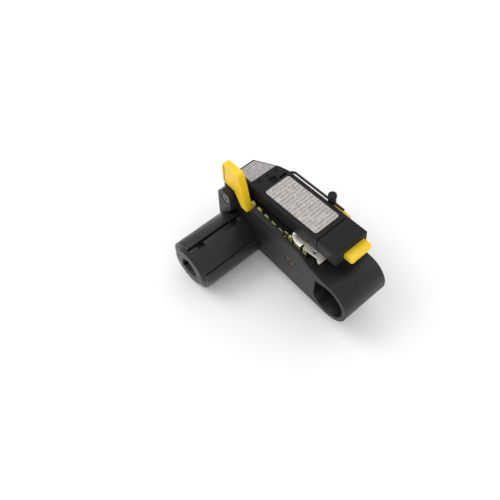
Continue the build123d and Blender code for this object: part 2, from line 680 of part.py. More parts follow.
RETAINER_T = 0.7
RETAINER_Y = (6.6, 11.0)
RETAINER_STEP_Y = 8.2
RETAINER_U = (48.4, 71.8)
RETAINER_STEP_U = 59.0
PACKING_END_U = 56.6
with BuildPart() as plate_retainer:
    with BuildSketch(arm_top(ARM_BOTTOM - PLATE_T - RETAINER_T)):
        rect(RETAINER_STEP_U - 1, RETAINER_STEP_Y, RETAINER_U[1], RETAINER_Y[1])
        rect(RETAINER_U[0], RETAINER_Y[0], RETAINER_STEP_U, RETAINER_Y[1])
    extrude(amount=RETAINER_T)
    # packing between the strip and the thinner leaf
    with BuildSketch(arm_top(ARM_BOTTOM - PLATE_T)):
        rect(RETAINER_U[0], RETAINER_Y[0], PACKING_END_U, RETAINER_Y[1])
    extrude(amount=PLATE_T - LEAF_T)
finish_part(plate_retainer, "plate_retainer")

# ---- stop rod with its collar and knob ---------------------------------------

with BuildPart() as stop_rod:
    with BuildLine() as rod_path:
        FilletPolyline(
            arm_side(ARM_FAR - ARM_WALL - 0.6).from_local_coords(Vector(ROD_U, ROD_LEG_W, 0)),
            arm_side(ROD_Y).from_local_coords(Vector(ROD_U, ROD_LEG_W, 0)),
            arm_side(ROD_Y).from_local_coords(Vector(ROD_U + ROD_RISE_U, ROD_W, 0)),
            arm_side(ROD_Y).from_local_coords(Vector(ROD_TIP_U, ROD_W, 0)),
            radius=ROD_BEND_R,
        )
    with BuildSketch(Plane(origin=rod_path.line @ 0, z_dir=rod_path.line % 0)):
        Circle(ROD_R)
    sweep(path=rod_path.line)
finish_part(stop_rod, "stop_rod")

COLLAR_U = 50.5
COLLAR_SIZE = (3.2, 4.2)
COLLAR_LENGTH = 4.0
COLLAR_LIFT = 0.3
KNOB_STEM_R = 0.7
with BuildPart() as stop_collar:
    with BuildSketch(arm_end(COLLAR_U - COLLAR_LENGTH / 2)):
        with Locations((ROD_Y, ROD_W + COLLAR_LIFT)):
            RectangleRounded(COLLAR_SIZE[0], COLLAR_SIZE[1], 0.8)
        disc(ROD_Y, ROD_W, ROD_R + RUN_CLEAR, Mode.SUBTRACT)
    extrude(amount=COLLAR_LENGTH)
    with BuildSketch(arm_top(ROD_W + ROD_R + 0.2)):
        disc(COLLAR_U, ROD_Y, KNOB_STEM_R + RUN_CLEAR)
    extrude(amount=COLLAR_SIZE[1], mode=Mode.SUBTRACT)
finish_part(stop_collar, "stop_collar")

KNOB_W = 10.6
KNOB_R = 2.7
KNOB_T = 3.4
KNOB_EDGE_R = 1.1
with BuildPart() as stop_knob:
    with BuildSketch(arm_top(ROD_W + ROD_R + 0.3)):
        disc(COLLAR_U, ROD_Y, KNOB_STEM_R)
    extrude(amount=KNOB_W - ROD_W - ROD_R)
    with BuildSketch(arm_top(KNOB_W)):
        disc(COLLAR_U, ROD_Y, KNOB_R)
    extrude(amount=KNOB_T)
    fillet(stop_knob.faces().sort_by(Axis.Z)[-1].edges(), KNOB_EDGE_R)
finish_part(stop_knob, "stop_knob")

SLIDE_U = (51.5, 64.5)
SLIDE_W = (1.0, 5.2)
SLIDE_STANDOFF = 0.15
SLIDE_T = 2.75
with BuildPart() as side_slide:
    with BuildSketch(arm_end(SLIDE_U[0])):
        rect(ARM_FAR + SLIDE_STANDOFF, SLIDE_W[0], ARM_FAR + SLIDE_STANDOFF + SLIDE_T, SLIDE_W[1])
    extrude(amount=SLIDE_U[1] - SLIDE_U[0])
    fillet(side_slide.edges().filter_by(Axis.Y), 0.8)
finish_part(side_slide, "side_slide")

# ---- thumb lever, rack and hook ------------------------------------------------

LEVER_OUTLINE = [
    (-15.6, 36.6),
    (-15.6, 52.2),
    (-14.5, 53.3),
    (-2.0, 53.9),
    (-0.9, 53.0),
    (2.2, 42.0),
    (4.5, 30.5),
    (6.2, LEVER_FOOT_Z),
    (0.7, LEVER_FOOT_Z),
    (-3.0, 32.8),
    (-5.2, 36.4),
]
HEAD_OUTLINE = [
    (-15.6, 36.8),
    (-15.6, 52.2),
    (-14.5, 53.3),
    (-2.0, 53.9),
    (-0.9, 53.0),
    (2.2, 42.0),
    (3.2, 37.4),
    (-5.2, 36.8),
]
DISH_RIM = 1.3
DISH_DEPTH = 0.5
with BuildPart() as thumb_lever:
    with BuildSketch(front(LEVER_Y[0])):
        polygon(LEVER_OUTLINE)
    extrude(amount=-(LEVER_Y[1] - LEVER_Y[0]))
    # shallow dish for the thumb
    with BuildSketch(front(LEVER_Y[0])):
        polygon(HEAD_OUTLINE)
        offset(amount=-DISH_RIM, mode=Mode.REPLACE)
    extrude(amount=-DISH_DEPTH, mode=Mode.SUBTRACT)
    # tongue down to the pin
    with BuildSketch(front(LEVER_TONGUE_Y[0])):
        disc(LEVER_PIN_X, LEVER_PIN_Z, TONGUE_R)
        rect(TONGUE_X[0], LEVER_PIN_Z, TONGUE_X[1], LEVER_FOOT_Z + 0.4)
    extrude(amount=-(LEVER_TONGUE_Y[1] - LEVER_TONGUE_Y[0]))
    with BuildSketch(front(LEVER_TONGUE_Y[0])):
        disc(LEVER_PIN_X, LEVER_PIN_Z, LEVER_PIN_R + RUN_CLEAR)
    extrude(amount=-(LEVER_TONGUE_Y[1] - LEVER_TONGUE_Y[0]), mode=Mode.SUBTRACT)
finish_part(thumb_lever, "thumb_lever")

with BuildPart() as lever_pin:
    with BuildSketch(front(LEVER_PIN_Y[0])):
        disc(LEVER_PIN_X, LEVER_PIN_Z, LEVER_PIN_R)
    extrude(amount=-(LEVER_PIN_Y[1] - LEVER_PIN_Y[0]))
finish_part(lever_pin, "lever_pin")

with BuildPart() as drive_pin:
    with BuildSketch(front(LEVER_Y[1])):
        disc(LEVER_PIN_X, DRIVE_Z, DRIVE_R)
    extrude(amount=-DRIVE_LENGTH)
finish_part(drive_pin, "drive_pin")

FORK_SLOT_X = (LEVER_PIN_X - DRIVE_R - 0.15, LEVER_PIN_X + DRIVE_R + 0.15)
RACK_TOP = DECK_Z - 0.3
TOOTH_ROOT = DECK_Z - 0.6
with BuildPart() as depth_rack:
    with BuildSketch(front(RACK_Y[0])):
        rect(RACK_LEFT, RACK_BOTTOM, RACK_RIGHT, RACK_TOP)
        rect(RACK_LEFT, RACK_BOTTOM, FORK_RIGHT, FORK_TOP)
        for number, top in enumerate(TOOTH_TOPS):
            x = TOOTH_FIRST_X + number * TOOTH_PITCH
            polygon([(x - 1.6, TOOTH_ROOT), (x + 2.0, TOOTH_ROOT), (x + 1.4, top - 0.5), (x - 1.4, top)])
        # larger steps that the arm's plates stand over
        for number, (top, half) in enumerate(zip(STEP_TOPS, STEP_HALF)):
            x = STEP_FIRST_X + number * STEP_PITCH
            foot = [(x - half, TOOTH_ROOT), (x + half, TOOTH_ROOT)]
            polygon(foot + [(x + half - 0.4, top), (x - half + 0.9, top)])
        for gap in RACK_GAPS:
            rect(gap[0], RACK_GAP_Z, gap[1], RACK_TOP + 0.1, Mode.SUBTRACT)
        rect(FORK_SLOT_X[0], LEVER_FOOT_Z, FORK_SLOT_X[1], FORK_TOP + 1, Mode.SUBTRACT)
    extrude(amount=-(RACK_Y[1] - RACK_Y[0]))
finish_part(depth_rack, "depth_rack")

HOOK_X = 33.2
HOOK_REACH = 3.2
HOOK_TOP = 30.5
HOOK_DROP = 2.2
HOOK_R = 0.45
with BuildPart() as rack_hook:
    with BuildLine(front(sum(RACK_Y) / 2)) as hook_path:
        FilletPolyline(
            (HOOK_X, RACK_TOP),
            (HOOK_X, HOOK_TOP),
            (HOOK_X + HOOK_REACH, HOOK_TOP),
            (HOOK_X + HOOK_REACH, HOOK_TOP - HOOK_DROP),
            radius=1.3,
        )
    with BuildSketch(Plane(origin=hook_path.line @ 0, z_dir=hook_path.line % 0)):
        Circle(HOOK_R)
    sweep(path=hook_path.line)
finish_part(rack_hook, "rack_hook")

# ---- frame screw ---------------------------------------------------------------

with BuildPart() as frame_screw:
    with BuildSketch(front(FRAME_SCREW_SINK)):
        disc(FRAME_SCREW_X, FRAME_SCREW_Z, FRAME_SCREW_HEAD_R)
    extrude(amount=-FRAME_SCREW_HEAD_T)
    with BuildSketch(front(FRAME_SCREW_SINK)):
        disc(FRAME_SCREW_X, FRAME_SCREW_Z, FRAME_SCREW_R)
    extrude(amount=-FRAME_SCREW_LENGTH)
    # cross recess
    with BuildSketch(front(FRAME_SCREW_SINK)):
        with Locations(Location((FRAME_SCREW_X, FRAME_SCREW_Z), 35)):
            Rectangle(CROSS_RECESS[0], CROSS_RECESS[1])
            Rectangle(CROSS_RECESS[1], CROSS_RECESS[0])
    extrude(amount=-CROSS_DEPTH, mode=Mode.SUBTRACT)
finish_part(frame_screw, "frame_screw")

# ---- blade carriage, blades and cable block ---------------------------------------

CARRIAGE_X = (WELL_X[0] + FREE_CLEAR, WELL_X[1] - FREE_CLEAR)
CARRIAGE_Y = (WELL_Y[0] + FREE_CLEAR, WELL_Y[1] - FREE_CLEAR)
BLADE_Y0 = 12.1
BLADE_YS = [BLADE_Y0 + number * BLADE_PITCH for number in range(3)]
BLADE_NAMES = ("jacket_blade", "braid_blade", "core_blade")
BLADE_X = (-2.6, 4.6)
BLADE_TOP = 14.0
BLADE_PIN_X = 1.0
BLADE_PIN_Z = 10.5
BLADE_PIN_R = 1.1

with BuildPart() as blade_carriage:
    with BuildSketch(front(CARRIAGE_Y[0])):
        rect(CARRIAGE_X[0], CARRIAGE_BOTTOM, CARRIAGE_X[1], CARRIAGE_TOP)
    extrude(amount=-(CARRIAGE_Y[1] - CARRIAGE_Y[0]))
    for blade_y in BLADE_YS:
        with BuildSketch(front(blade_y)):
            rect(BLADE_X[0], CARRIAGE_BOTTOM - 1, BLADE_X[1], BLADE_TOP)
        extrude(amount=-BLADE_T, mode=Mode.SUBTRACT)
    with BuildSketch(front(CARRIAGE_Y[0])):
        disc(BLADE_PIN_X, BLADE_PIN_Z, BLADE_PIN_R)
    extrude(amount=-(CARRIAGE_Y[1] - CARRIAGE_Y[0]), mode=Mode.SUBTRACT)
finish_part(blade_carriage, "blade_carriage")

for name, blade_y in zip(BLADE_NAMES, BLADE_YS):
    with BuildPart() as blade:
        with BuildSketch(front(blade_y)):
            rect(BLADE_X[0], BLADE_EDGE_Z, BLADE_X[1], BLADE_TOP)
            disc(BLADE_PIN_X, BLADE_PIN_Z, BLADE_PIN_R, Mode.SUBTRACT)
        extrude(amount=-BLADE_T)
        chamfer(blade.edges().filter_by(Axis.X).sort_by(Axis.Z)[0], 0.35, 0.2)
    finish_part(blade, name)

with BuildPart() as blade_pin:
    with BuildSketch(front(CARRIAGE_Y[0])):
        disc(BLADE_PIN_X, BLADE_PIN_Z, BLADE_PIN_R)
    extrude(amount=-(CARRIAGE_Y[1] - CARRIAGE_Y[0]))
finish_part(blade_pin, "blade_pin")

with BuildPart() as cable_block:
    with BuildSketch(front(CARRIAGE_Y[0])):
        rect(BLOCK_WELL_X[0] + FREE_CLEAR, BLOCK_BOTTOM, BLOCK_WELL_X[1] - FREE_CLEAR, BLOCK_TOP)
        with BuildLine():
            Polyline((-V_DEPTH, BLOCK_TOP), (V_DEPTH, BLOCK_TOP), (0, BLOCK_TOP - V_DEPTH), close=True)
        make_face(mode=Mode.SUBTRACT)
    extrude(amount=-(CARRIAGE_Y[1] - CARRIAGE_Y[0]))
    with BuildSketch(Plane.XY.offset(BLOCK_BOTTOM)):
        with Locations((0, sum(WELL_Y) / 2)):
            Circle(SCREW_R + RUN_CLEAR)
    extrude(amount=SCREW_TIP_DEPTH, mode=Mode.SUBTRACT)
finish_part(cable_block, "cable_block")

with BuildPart() as adjust_screw:
    with BuildSketch(Plane.XY.offset(SCREW_HEAD_FACE)):
        with Locations((0, sum(WELL_Y) / 2)):
            Circle(SCREW_HEAD_R)
    extrude(amount=SCREW_HEAD_T)
    with BuildSketch(Plane.XY.offset(SCREW_HEAD_FACE + SCREW_HEAD_T)):
        with Locations((0, sum(WELL_Y) / 2)):
            Circle(SCREW_R)
    extrude(amount=SCREW_SHANK)
    with BuildSketch(Plane.XY.offset(SCREW_HEAD_FACE)):
        with Locations((0, sum(WELL_Y) / 2)):
            RegularPolygon(radius=HEX_R, side_count=6)
    extrude(amount=HEX_DEPTH, mode=Mode.SUBTRACT)
finish_part(adjust_screw, "adjust_screw")
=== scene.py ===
"""Looks for the rotary coaxial cable stripper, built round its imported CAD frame."""

import json
import math

import bmesh
import bpy
from mathutils import Matrix, Vector


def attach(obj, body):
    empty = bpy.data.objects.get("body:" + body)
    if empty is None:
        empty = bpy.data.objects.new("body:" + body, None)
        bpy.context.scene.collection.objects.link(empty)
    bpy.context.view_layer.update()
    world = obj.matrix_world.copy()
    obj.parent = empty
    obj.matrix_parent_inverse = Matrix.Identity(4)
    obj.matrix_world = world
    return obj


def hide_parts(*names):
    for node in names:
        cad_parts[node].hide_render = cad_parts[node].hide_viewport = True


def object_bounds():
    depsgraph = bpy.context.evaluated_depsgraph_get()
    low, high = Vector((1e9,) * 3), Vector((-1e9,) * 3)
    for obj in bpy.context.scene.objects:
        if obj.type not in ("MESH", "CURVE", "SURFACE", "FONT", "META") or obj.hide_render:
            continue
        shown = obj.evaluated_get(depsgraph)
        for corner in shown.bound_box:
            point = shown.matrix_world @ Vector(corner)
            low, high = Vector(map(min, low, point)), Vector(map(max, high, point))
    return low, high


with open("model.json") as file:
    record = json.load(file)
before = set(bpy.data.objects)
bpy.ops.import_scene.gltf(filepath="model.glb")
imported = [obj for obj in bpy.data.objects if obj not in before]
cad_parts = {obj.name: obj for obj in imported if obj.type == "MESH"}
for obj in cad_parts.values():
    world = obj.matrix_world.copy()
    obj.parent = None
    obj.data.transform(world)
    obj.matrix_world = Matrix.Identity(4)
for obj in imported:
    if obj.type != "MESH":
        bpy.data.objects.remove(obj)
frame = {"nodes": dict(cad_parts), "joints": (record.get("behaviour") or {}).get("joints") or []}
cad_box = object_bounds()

MM = 0.001
NODES = frame["nodes"]

# ---- the arm's own axes: u along it, y across it, w square to its top ----------

JOINTS = {joint["name"]: joint for joint in frame["joints"]}
PIVOT = Vector(JOINTS["arm_hinge"]["pos_m"])
ARM_U = -Vector(JOINTS["tab_push"]["axis"])
ARM_Y = Vector((0, 1, 0))
ARM_W = ARM_U.cross(ARM_Y)
TILT = math.atan2(ARM_U.z, ARM_U.x)


def arm_point(u, y, w):
    """A point given in the arm's axes, in millimetres."""
    return PIVOT + ARM_U * u * MM + ARM_Y * y * MM + ARM_W * w * MM


def point(x, y, z):
    """A point given in the part's axes, in millimetres."""
    return Vector((x, y, z)) * MM


# ---- materials ------------------------------------------------------------------

# pointiness range taken as an outer edge, where moulded() paints its edge wear and edge highlight
EDGE_POINTINESS = (0.53, 0.60)


class Graph:
    """A material's node tree, with short calls for the nodes used here."""

    def __init__(self, name, roughness=0.5, metallic=0.0):
        self.material = bpy.data.materials.new(name)
        self.material.use_nodes = True
        self.tree = self.material.node_tree
        self.shader = self.tree.nodes["Principled BSDF"]
        self.shader.inputs["Roughness"].default_value = roughness
        self.shader.inputs["Metallic"].default_value = metallic

    def link(self, source, target):
        self.tree.links.new(source, target)

    def fill(self, socket, value):
        if isinstance(value, bpy.types.NodeSocket):
            self.link(value, socket)
        else:
            socket.default_value = value

    def coords(self, along_arm=False, stretch=(1, 1, 1)):
        """Object coordinates, which are the part's own axes in metres."""
        source = self.tree.nodes.new("ShaderNodeTexCoord").outputs["Object"]
        if along_arm:
            place = self.tree.nodes.new("ShaderNodeMapping")
            place.vector_type = "TEXTURE"
            place.inputs["Location"].default_value = PIVOT
            place.inputs["Rotation"].default_value = (0, -TILT, 0)
            self.link(source, place.inputs["Vector"])
            source = place.outputs["Vector"]
        if tuple(stretch) != (1, 1, 1):
            scale = self.tree.nodes.new("ShaderNodeMapping")
            scale.inputs["Scale"].default_value = stretch
            self.link(source, scale.inputs["Vector"])
            source = scale.outputs["Vector"]
        return source

    def noise(self, vector, size_mm, detail=3.0, rough=0.5):
        node = self.tree.nodes.new("ShaderNodeTexNoise")
        node.inputs["Scale"].default_value = 1 / (size_mm * MM)
        node.inputs["Detail"].default_value = detail
        node.inputs["Roughness"].default_value = rough
        self.link(vector, node.inputs["Vector"])
        return node.outputs["Fac"]

    def math(self, operation, first, second=0.0):
        node = self.tree.nodes.new("ShaderNodeMath")
        node.operation = operation
        self.fill(node.inputs[0], first)
        self.fill(node.inputs[1], second)
        return node.outputs[0]

    def spread(self, value, low, high, to_low=0.0, to_high=1.0):
        node = self.tree.nodes.new("ShaderNodeMapRange")
        node.inputs["From Min"].default_value = low
        node.inputs["From Max"].default_value = high
        node.inputs["To Min"].default_value = to_low
        node.inputs["To Max"].default_value = to_high
        self.link(value, node.inputs["Value"])
        return node.outputs["Result"]

    def mix(self, amount, first, second):
        node = self.tree.nodes.new("ShaderNodeMix")
        node.data_type = "RGBA"
        self.fill(node.inputs["Factor"], amount)
        self.fill(node.inputs["A"], first)
        self.fill(node.inputs["B"], second)
        return node.outputs["Result"]

    def white_noise(self, first, second):
        join = self.tree.nodes.new("ShaderNodeCombineXYZ")
        self.fill(join.inputs["X"], first)
        self.fill(join.inputs["Y"], second)
        node = self.tree.nodes.new("ShaderNodeTexWhiteNoise")
        node.noise_dimensions = "2D"
        self.link(join.outputs[0], node.inputs["Vector"])
        return node.outputs["Value"]

    def edges(self):
        """1 on outer edges, 0 elsewhere."""
        geometry = self.tree.nodes.new("ShaderNodeNewGeometry")
        return self.spread(geometry.outputs["Pointiness"], *EDGE_POINTINESS)

    def bump(self, height, depth_mm, strength=1.0):
        node = self.tree.nodes.new("ShaderNodeBump")
        node.inputs["Strength"].default_value = strength
        node.inputs["Distance"].default_value = depth_mm * MM
        self.link(height, node.inputs["Height"])
        self.link(node.outputs["Normal"], self.shader.inputs["Normal"])

    def colour(self, socket):
        self.fill(self.shader.inputs["Base Color"], socket)

    def roughness(self, socket):
        self.fill(self.shader.inputs["Roughness"], socket)


def rgba(red, green, blue):
    return (red, green, blue, 1.0)


def shade(colour, factor):
    return rgba(*(channel * factor for channel in colour))


CLOUD_MM = 9.0
SCUFF_MM = 1.6
SCUFF_STRETCH = (0.25, 1.0, 2.2)
SCUFF_RANGE = (0.62, 0.74)
PATCH_MM = 2.4
CLOUD_TONES = (0.82, 1.2)
SCUFF_SHARE = 0.35
SCUFF_ROUGHNESS = 0.12


def moulded(
    name, colour, roughness, grain_mm=0.35, grain_depth=0.03, wear_and_edge_highlight=0.25, worn_and_highlight=None, gloss=0.3
):
    """Moulded plastic: fine grain, faint clouds in its colour, light scuffs, and eased edges
    lightened in the rubbed colour, part real wear and part painted highlight.
    """
    graph = Graph(name)
    graph.shader.inputs["Specular IOR Level"].default_value = gloss
    place = graph.coords()
    clouds = graph.noise(place, CLOUD_MM, 4.0)
    tone = graph.mix(clouds, *(shade(colour, factor) for factor in CLOUD_TONES))
    scuff_place = graph.coords(stretch=SCUFF_STRETCH)
    scuffs = graph.spread(graph.noise(scuff_place, SCUFF_MM, 6.0, 0.7), *SCUFF_RANGE)
    # the rubbed colour is the scuffs' worn tone and also the colour of the painted edge highlight
    rubbed_and_highlight = rgba(*(worn_and_highlight or [min(1.0, channel * 1.7 + 0.03) for channel in colour]))
    tone = graph.mix(graph.math("MULTIPLY", scuffs, SCUFF_SHARE * wear_and_edge_highlight), tone, rubbed_and_highlight)
    # painted highlight: eased edges lightened to the rubbed colour in patches, part real edge
    # wear, part a painted highlight along the edges
    patch = graph.spread(graph.noise(place, PATCH_MM, 4.0), 0.35, 0.65, 0.35, 1.0)
    edge_wear_and_highlight = graph.math("MULTIPLY", graph.math("MULTIPLY", graph.edges(), patch), wear_and_edge_highlight)
    tone = graph.mix(edge_wear_and_highlight, tone, rubbed_and_highlight)
    graph.colour(tone)
    grain = graph.noise(place, grain_mm, 3.0, 0.6)
    rough = graph.spread(clouds, 0.3, 0.7, roughness - 0.05, roughness + 0.06)
    graph.roughness(graph.math("ADD", rough, graph.math("MULTIPLY", scuffs, SCUFF_ROUGHNESS)))
    graph.bump(grain, grain_depth)
    return graph.material


DRAWN_LINE_MM = 1.2
DULL_PATCH_MM = 3.0
LINE_DEPTH_MM = 0.012
LINE_TONES = (0.8, 1.08)
DULL_TONE = 0.55
DULL_ROUGHNESS = 0.15


def steel(name, colour, roughness, stretch=(1, 12, 12), along_arm=True, stain=0.3):
    """Bare or plated steel with fine drawn lines along one axis and dull patches."""
    graph = Graph(name, metallic=1.0)
    place = graph.coords(along_arm=along_arm, stretch=stretch)
    lines = graph.noise(place, DRAWN_LINE_MM, 5.0, 0.65)
    clouds = graph.noise(graph.coords(), DULL_PATCH_MM, 4.0)
    tone = graph.mix(lines, *(shade(colour, factor) for factor in LINE_TONES))
    dull = graph.spread(clouds, 0.5, 0.72)
    tone = graph.mix(graph.math("MULTIPLY", dull, stain), tone, shade(colour, DULL_TONE))
    graph.colour(tone)
    rough = graph.spread(lines, 0.3, 0.7, roughness - 0.06, roughness + 0.1)
    graph.roughness(graph.math("ADD", rough, graph.math("MULTIPLY", dull, DULL_ROUGHNESS)))
    graph.bump(lines, LINE_DEPTH_MM)
    return graph.material


ROW_BAND = (0.24, 0.76)
WORD_LETTERS = 4.3
STROKE_SHARE = 0.31
STROKES_PER_ROW = 7.0
BLOTCH_MM = 1.5
WORD_GAPS = 0.10
LETTER_GAPS = 0.08
STROKE_GAPS = 0.3
FOIL_TONES = (0.84, 1.22)
INK_STRENGTH = 0.7
SHEEN_MM = 1.1
DENT_MM = 1.8
DENT_DEPTH_MM = 0.03


def printed_label(name, row_mm, letter_mm, foil=(0.48, 0.445, 0.425), ink=(0.14, 0.12, 0.115)):
    """Silver sticker with rows of marks that only look like print."""
    graph = Graph(name, roughness=0.42, metallic=0.35)
    place = graph.coords(along_arm=True)
    split = graph.tree.nodes.new("ShaderNodeSeparateXYZ")
    graph.link(place, split.inputs[0])
    across, along = split.outputs["X"], split.outputs["Y"]

    def cells(length_mm, line):
        """A random value for each cell of this length along a line of print."""
        cell = graph.math("FLOOR", graph.math("DIVIDE", along, length_mm * MM))
        return graph.white_noise(cell, line)

    rows = graph.math("DIVIDE", across, row_mm * MM)
    row = graph.math("FLOOR", rows)
    height = graph.math("FRACT", rows)
    above = graph.math("GREATER_THAN", height, ROW_BAND[0])
    band = graph.math("MULTIPLY", above, graph.math("LESS_THAN", height, ROW_BAND[1]))
    # words are long cells with gaps, letters are short cells, strokes are finer still
    word = cells(letter_mm * WORD_LETTERS, row)
    letter = cells(letter_mm, row)
    stroke_row = graph.math("FLOOR", graph.math("MULTIPLY", rows, STROKES_PER_ROW))
    stroke = cells(letter_mm * STROKE_SHARE, stroke_row)
    printed = graph.math("MULTIPLY", band, graph.math("GREATER_THAN", word, WORD_GAPS))
    printed = graph.math("MULTIPLY", printed, graph.math("GREATER_THAN", letter, LETTER_GAPS))
    printed = graph.math("MULTIPLY", printed, graph.math("GREATER_THAN", stroke, STROKE_GAPS))
    blotches = graph.spread(graph.noise(graph.coords(), BLOTCH_MM, 5.0, 0.65), 0.35, 0.65)
    foil_tone = graph.mix(blotches, *(shade(foil, factor) for factor in FOIL_TONES))
    printed = graph.math("MULTIPLY", printed, graph.spread(blotches, 0.0, 1.0, 1.0, 0.55))
    graph.colour(graph.mix(graph.math("MULTIPLY", printed, INK_STRENGTH), foil_tone, rgba(*ink)))
    graph.roughness(graph.spread(graph.noise(graph.coords(), SHEEN_MM, 4.0), 0.3, 0.7, 0.36, 0.5))
    graph.bump(graph.noise(graph.coords(), DENT_MM, 3.0), DENT_DEPTH_MM)
    return graph.material


# each worn colour below is also the painted highlight along that plastic's eased edges
BLACK = moulded(
    "black_frame_plastic", (0.0105, 0.0105, 0.0115), 0.40, wear_and_edge_highlight=0.3, worn_and_highlight=(0.05, 0.05, 0.052)
)
GUIDE_BLACK = moulded(
    "black_guide_plastic", (0.013, 0.013, 0.013), 0.36, wear_and_edge_highlight=0.3, worn_and_highlight=(0.055, 0.055, 0.055)
)
ARM_BLACK = moulded(
    "black_arm_plastic",
    (0.012, 0.012, 0.013),
    0.52,
    wear_and_edge_highlight=0.4,
    worn_and_highlight=(0.06, 0.06, 0.062),
    gloss=0.16,
)
# lock button's near-black colour, darker than the other black plastics: painted shade standing in
# for the shade of a recess
SHADED_BUTTON_BLACK = moulded(
    "shaded_button_black_plastic",
    (0.004, 0.004, 0.0045),
    0.5,
    wear_and_edge_highlight=0.2,
    worn_and_highlight=(0.02, 0.02, 0.02),
    gloss=0.15,
)
YELLOW = moulded(
    "yellow_plastic",
    (0.86, 0.56, 0.014),
    0.34,
    grain_depth=0.015,
    wear_and_edge_highlight=0.4,
    worn_and_highlight=(0.96, 0.78, 0.16),
    gloss=0.45,
)
PALE_YELLOW = moulded(
    "pale_yellow_plastic",
    (0.60, 0.54, 0.15),
    0.36,
    grain_depth=0.015,
    wear_and_edge_highlight=0.5,
    worn_and_highlight=(0.72, 0.68, 0.36),
    gloss=0.45,
)
MAIN_LABEL = printed_label("main_label_print", 2.45, 0.85)
END_LABEL = printed_label(
    "end_label_print", 1.7, 0.7, foil=(0.40, 0.38, 0.39), ink=(0.12, 0.11, 0.12)
)
BRIGHT_STEEL = steel("bright_steel", (0.86, 0.83, 0.78), 0.36)
SPRING_STEEL = steel("spring_steel", (0.50, 0.48, 0.46), 0.32)
DARK_STEEL = steel("blackened_steel", (0.045, 0.042, 0.042), 0.38)
EVEN = {"stretch": (3, 3, 3), "along_arm": False}
BRONZED_STEEL = steel("bronzed_steel", (0.20, 0.135, 0.12), 0.36, **EVEN)
ZINC = steel("zinc_plated_steel", (0.40, 0.39, 0.37), 0.34, **EVEN)
DULL_ZINC = steel("dull_zinc_steel", (0.20, 0.195, 0.19), 0.36, **EVEN)
BLADE = steel(
    "blade_steel", (0.62, 0.63, 0.66), 0.2, stretch=(1, 1, 9), along_arm=False, stain=0.12
)
NYLON = moulded("grey_nylon", (0.16, 0.16, 0.15), 0.48, grain_depth=0.02)

# each CAD node's finish, and the width in mm of the eased edge its tool or mould leaves
FINISHES = {
    "body_frame": (BLACK, 0.45),
    "guide_sleeve": (GUIDE_BLACK, 0.35),
    "guide_core": (GUIDE_BLACK, 0.3),
    "cable_bushing": (BLACK, 0.2),
    "pivot_screw": (DULL_ZINC, 0.12),
    "pivot_clip": (SPRING_STEEL, 0.08),
    "hinge_spring": (SPRING_STEEL, 0),
    "arm_housing": (ARM_BLACK, 0.3),
    "arm_base": (ARM_BLACK, 0.15),
    "arm_base_screws": (ZINC, 0.12),
    "pusher": (NYLON, 0.3),
    "main_label": (MAIN_LABEL, 0.05),
    "end_label": (END_LABEL, 0.05),
    "end_block": (ARM_BLACK, 0.3),
    "pull_tab": (YELLOW, 0.4),
    "tab_spring": (SPRING_STEEL, 0.1),
    # the lock button's darker black is painted shade
    "lock_button": (SHADED_BUTTON_BLACK, 0.15),
    "catch_plate": (BRIGHT_STEEL, 0.15),
    "leaf_plate": (BRIGHT_STEEL, 0.12),
    "plate_rivets": (BRIGHT_STEEL, 0.15),
    "plate_retainer": (PALE_YELLOW, 0.12),
    "stop_rod": (DARK_STEEL, 0.15),
    "stop_collar": (DARK_STEEL, 0.2),
    "stop_knob": (ARM_BLACK, 0.2),
    "side_slide": (YELLOW, 0.3),
    "thumb_lever": (YELLOW, 0.5),
    "lever_pin": (SPRING_STEEL, 0.12),
    "drive_pin": (SPRING_STEEL, 0.12),
    "depth_rack": (PALE_YELLOW, 0.25),
    "rack_hook": (SPRING_STEEL, 0.1),
    "frame_screw": (BRONZED_STEEL, 0.12),
    "blade_carriage": (NYLON, 0.2),
    "jacket_blade": (BLADE, 0),
    "braid_blade": (BLADE, 0),
    "core_blade": (BLADE, 0),
    "blade_pin": (SPRING_STEEL, 0.12),
    "cable_block": (NYLON, 0.25),
    "adjust_screw": (ZINC, 0.15),
}
SHARP_ANGLE = math.radians(28)
WELD_MM = 0.002


def ease_edges(piece, width_mm, segments=2):
    """Joins the faces' split corners, then rounds every sharp edge of a piece."""
    weld = piece.modifiers.new("weld", "WELD")
    weld.merge_threshold = WELD_MM * MM
    if width_mm:
        bevel = piece.modifiers.new("eased_edges", "BEVEL")
        bevel.width = width_mm * MM
        bevel.segments = segments
        bevel.limit_method = "ANGLE"
        bevel.angle_limit = SHARP_ANGLE
        bevel.harden_normals = True
        bevel.use_clamp_overlap = True


for node_name, (finish, edge_mm) in FINISHES.items():
    node = NODES[node_name]
    node.data.materials.clear()
    node.data.materials.append(finish)
    ease_edges(node, edge_mm)

# ---- pieces made here ---------------------------------------------------------------

SMOOTH_ANGLE = math.radians(32)


def mesh_piece(name, body, finish, shape):
    """A finished piece from a bmesh in the part's axes, riding on a CAD body."""
    bmesh.ops.recalc_face_normals(shape, faces=shape.faces)
    mesh = bpy.data.meshes.new(name)
    shape.to_mesh(mesh)
    shape.free()
    mesh.materials.append(finish)
    mesh.shade_smooth()
    mesh.set_sharp_from_angle(angle=SMOOTH_ANGLE)
    piece = bpy.data.objects.new(name, mesh)
    bpy.context.scene.collection.objects.link(piece)
    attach(piece, body)
    return piece


def side_axes(axis):
    """Two directions square to an axis."""
    first = axis.orthogonal().normalized()
    return first, axis.cross(first)


